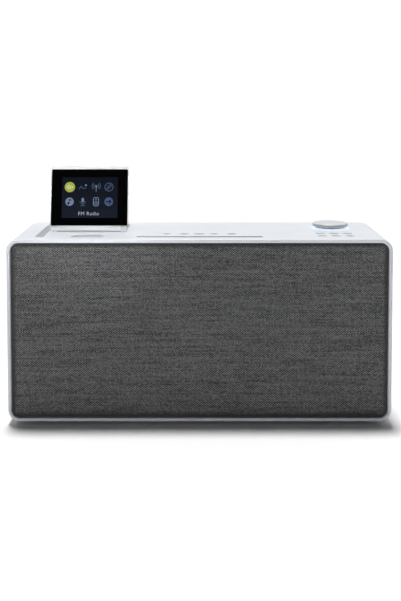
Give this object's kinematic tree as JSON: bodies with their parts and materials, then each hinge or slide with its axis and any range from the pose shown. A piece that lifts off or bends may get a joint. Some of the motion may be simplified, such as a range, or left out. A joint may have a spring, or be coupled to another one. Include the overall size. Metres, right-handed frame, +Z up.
{
  "type": "mini hifi system",
  "caption": "Long low tabletop music system with a cloth front, flip-up display, upright disc slot, control knob over a light ring, keys and a telescopic antenna.",
  "frame": {"origin": "middle of the whole footprint, on the surface that it stands on", "axes": "+Z up, the cloth front faces -Y, +X to the right of someone facing the front"},
  "size_m": [0.42, 0.1368, 0.2751],
  "materials": {
    "white_plastic": "fine-grained satin white moulding",
    "key_plastic": "satin white caps",
    "knob_metal": "satin, turned face",
    "light_guide": "frosted clear plastic, lit pale blue",
    "grille_fabric": "charcoal melange weave",
    "black_plastic": "fine-grained",
    "baffle_board": "black-painted fibreboard",
    "display_glass": "clear cover glass with a black printed border",
    "lcd_panel": "dark colour display",
    "circuit_board": "green solder mask",
    "steel": "bright zinc",
    "chrome": "polished",
    "heatsink_metal": "extruded, dull",
    "magnet_iron": "dark ferrite and plated iron",
    "speaker_cone": "black coated paper",
    "rubber": "matt"
  },
  "bodies": {
    "cabinet": {"cabinet_sleeve": "white_plastic", "foot_front_left": "rubber", "foot_front_right": "rubber", "foot_rear_left": "rubber", "foot_rear_right": "rubber", "grille_cloth": "grille_fabric", "grille_frame": "black_plastic", "baffle": "baffle_board", "hinge_knuckle_left": "white_plastic", "hinge_knuckle_right": "white_plastic", "hinge_pin_left": "steel", "hinge_pin_right": "steel", "transport_board": "circuit_board", "key_board": "circuit_board", "encoder_body": "black_plastic", "light_ring": "light_guide", "cd_guide_plate": "steel", "cd_chassis": "steel", "rear_panel": "white_plastic", "bass_port": "black_plastic", "mains_inlet": "black_plastic", "aux_socket": "black_plastic", "usb_socket": "steel", "main_board": "circuit_board", "heatsink": "heatsink_metal", "power_supply": "circuit_board", "woofer_basket_left": "black_plastic", "woofer_magnet_left": "magnet_iron", "tweeter_left": "black_plastic", "woofer_basket_right": "black_plastic", "woofer_magnet_right": "magnet_iron", "tweeter_right": "black_plastic"},
    "display": {"display_housing": "white_plastic", "display_glass": "display_glass", "display_lcd": "lcd_panel", "display_board": "circuit_board"},
    "knob_plunger": {"encoder_plunger": "black_plastic"},
    "knob": {"control_knob": "knob_metal", "encoder_shaft": "steel"},
    "cd_roller": {"cd_roller": "rubber"},
    "cd_spindle": {"cd_spindle": "steel"},
    "cd_pickup": {"cd_pickup": "black_plastic"},
    "woofer_cone_left": {"woofer_cone_left": "speaker_cone"},
    "woofer_cone_right": {"woofer_cone_right": "speaker_cone"},
    "antenna_base": {"antenna_base": "chrome"},
    "antenna_section_1": {"antenna_section_1": "chrome"},
    "antenna_section_2": {"antenna_section_2": "chrome"},
    "antenna_section_3": {"antenna_section_3": "chrome"},
    "antenna_section_4": {"antenna_section_4": "chrome"},
    "previous_button": {"previous_button": "key_plastic"},
    "stop_button": {"stop_button": "key_plastic"},
    "play_pause_button": {"play_pause_button": "key_plastic"},
    "next_button": {"next_button": "key_plastic"},
    "eject_button": {"eject_button": "key_plastic"},
    "standby_key": {"standby_key": "key_plastic"},
    "source_key": {"source_key": "key_plastic"},
    "menu_key": {"menu_key": "key_plastic"},
    "back_key": {"back_key": "key_plastic"},
    "preset_key": {"preset_key": "key_plastic"},
    "info_key": {"info_key": "key_plastic"}
  },
  "joints": [
    {"name": "display_fold", "type": "hinge", "parent": "cabinet", "child": "display", "pos_m": [-0.132, 0.03155, 0.2007], "axis": [1, 0, 0], "range_deg": [0, 102.7]},
    {"name": "knob_push", "type": "slide", "parent": "cabinet", "child": "knob_plunger", "axis": [0, 0, -1], "range_m": [0, 0.0008], "stiffness_N_per_m": 900, "springref_m": -0.001},
    {"name": "knob_turn", "type": "hinge", "parent": "knob_plunger", "child": "knob", "pos_m": [0.153, 0.01455, 0.2], "axis": [0, 0, 1], "continuous": true},
    {"name": "standby_key_press", "type": "slide", "parent": "cabinet", "child": "standby_key", "axis": [0, 0, -1], "range_m": [0, 0.0008], "stiffness_N_per_m": 500, "springref_m": -0.0006},
    {"name": "source_key_press", "type": "slide", "parent": "cabinet", "child": "source_key", "axis": [0, 0, -1], "range_m": [0, 0.0008], "stiffness_N_per_m": 500, "springref_m": -0.0006},
    {"name": "menu_key_press", "type": "slide", "parent": "cabinet", "child": "menu_key", "axis": [0, 0, -1], "range_m": [0, 0.0008], "stiffness_N_per_m": 500, "springref_m": -0.0006},
    {"name": "back_key_press", "type": "slide", "parent": "cabinet", "child": "back_key", "axis": [0, 0, -1], "range_m": [0, 0.0008], "stiffness_N_per_m": 500, "springref_m": -0.0006},
    {"name": "preset_key_press", "type": "slide", "parent": "cabinet", "child": "preset_key", "axis": [0, 0, -1], "range_m": [0, 0.0008], "stiffness_N_per_m": 500, "springref_m": -0.0006},
    {"name": "info_key_press", "type": "slide", "parent": "cabinet", "child": "info_key", "axis": [0, 0, -1], "range_m": [0, 0.0008], "stiffness_N_per_m": 500, "springref_m": -0.0006},
    {"name": "previous_button_press", "type": "slide", "parent": "cabinet", "child": "previous_button", "axis": [0, 0, -1], "range_m": [0, 0.0008], "stiffness_N_per_m": 500, "springref_m": -0.0006},
    {"name": "stop_button_press", "type": "slide", "parent": "cabinet", "child": "stop_button", "axis": [0, 0, -1], "range_m": [0, 0.0008], "stiffness_N_per_m": 500, "springref_m": -0.0006},
    {"name": "play_pause_button_press", "type": "slide", "parent": "cabinet", "child": "play_pause_button", "axis": [0, 0, -1], "range_m": [0, 0.0008], "stiffness_N_per_m": 500, "springref_m": -0.0006},
    {"name": "next_button_press", "type": "slide", "parent": "cabinet", "child": "next_button", "axis": [0, 0, -1], "range_m": [0, 0.0008], "stiffness_N_per_m": 500, "springref_m": -0.0006},
    {"name": "eject_button_press", "type": "slide", "parent": "cabinet", "child": "eject_button", "axis": [0, 0, -1], "range_m": [0, 0.0008], "stiffness_N_per_m": 500, "springref_m": -0.0006},
    {"name": "cd_spindle_spin", "type": "hinge", "parent": "cabinet", "child": "cd_spindle", "pos_m": [0, -0.04945, 0.119], "axis": [0, 1, 0], "continuous": true},
    {"name": "cd_roller_spin", "type": "hinge", "parent": "cabinet", "child": "cd_roller", "pos_m": [0, -0.04265, 0.186], "axis": [1, 0, 0], "continuous": true},
    {"name": "cd_pickup_slide", "type": "slide", "parent": "cabinet", "child": "cd_pickup", "axis": [0, 0, -1], "range_m": [0, 0.033]},
    {"name": "woofer_left_stroke", "type": "slide", "parent": "cabinet", "child": "woofer_cone_left", "axis": [0, 1, 0], "range_m": [-0.0025, 0.0025], "stiffness_N_per_m": 1500},
    {"name": "woofer_right_stroke", "type": "slide", "parent": "cabinet", "child": "woofer_cone_right", "axis": [0, 1, 0], "range_m": [-0.0025, 0.0025], "stiffness_N_per_m": 1500},
    {"name": "antenna_swivel", "type": "hinge", "parent": "cabinet", "child": "antenna_base", "pos_m": [0.165, 0.06525, 0.186], "axis": [0, 1, 0], "range_deg": [0, 180]},
    {"name": "antenna_lift", "type": "hinge", "parent": "antenna_base", "child": "antenna_section_1", "pos_m": [0.165, 0.06525, 0.186], "axis": [0, 0, -1], "range_deg": [0, 90]},
    {"name": "antenna_draw_2", "type": "slide", "parent": "antenna_section_1", "child": "antenna_section_2", "axis": [-1, 0, 0], "range_m": [0, 0.13]},
    {"name": "antenna_draw_3", "type": "slide", "parent": "antenna_section_2", "child": "antenna_section_3", "axis": [-1, 0, 0], "range_m": [0, 0.13]},
    {"name": "antenna_draw_4", "type": "slide", "parent": "antenna_section_3", "child": "antenna_section_4", "axis": [-1, 0, 0], "range_m": [0, 0.13]}
  ]
}
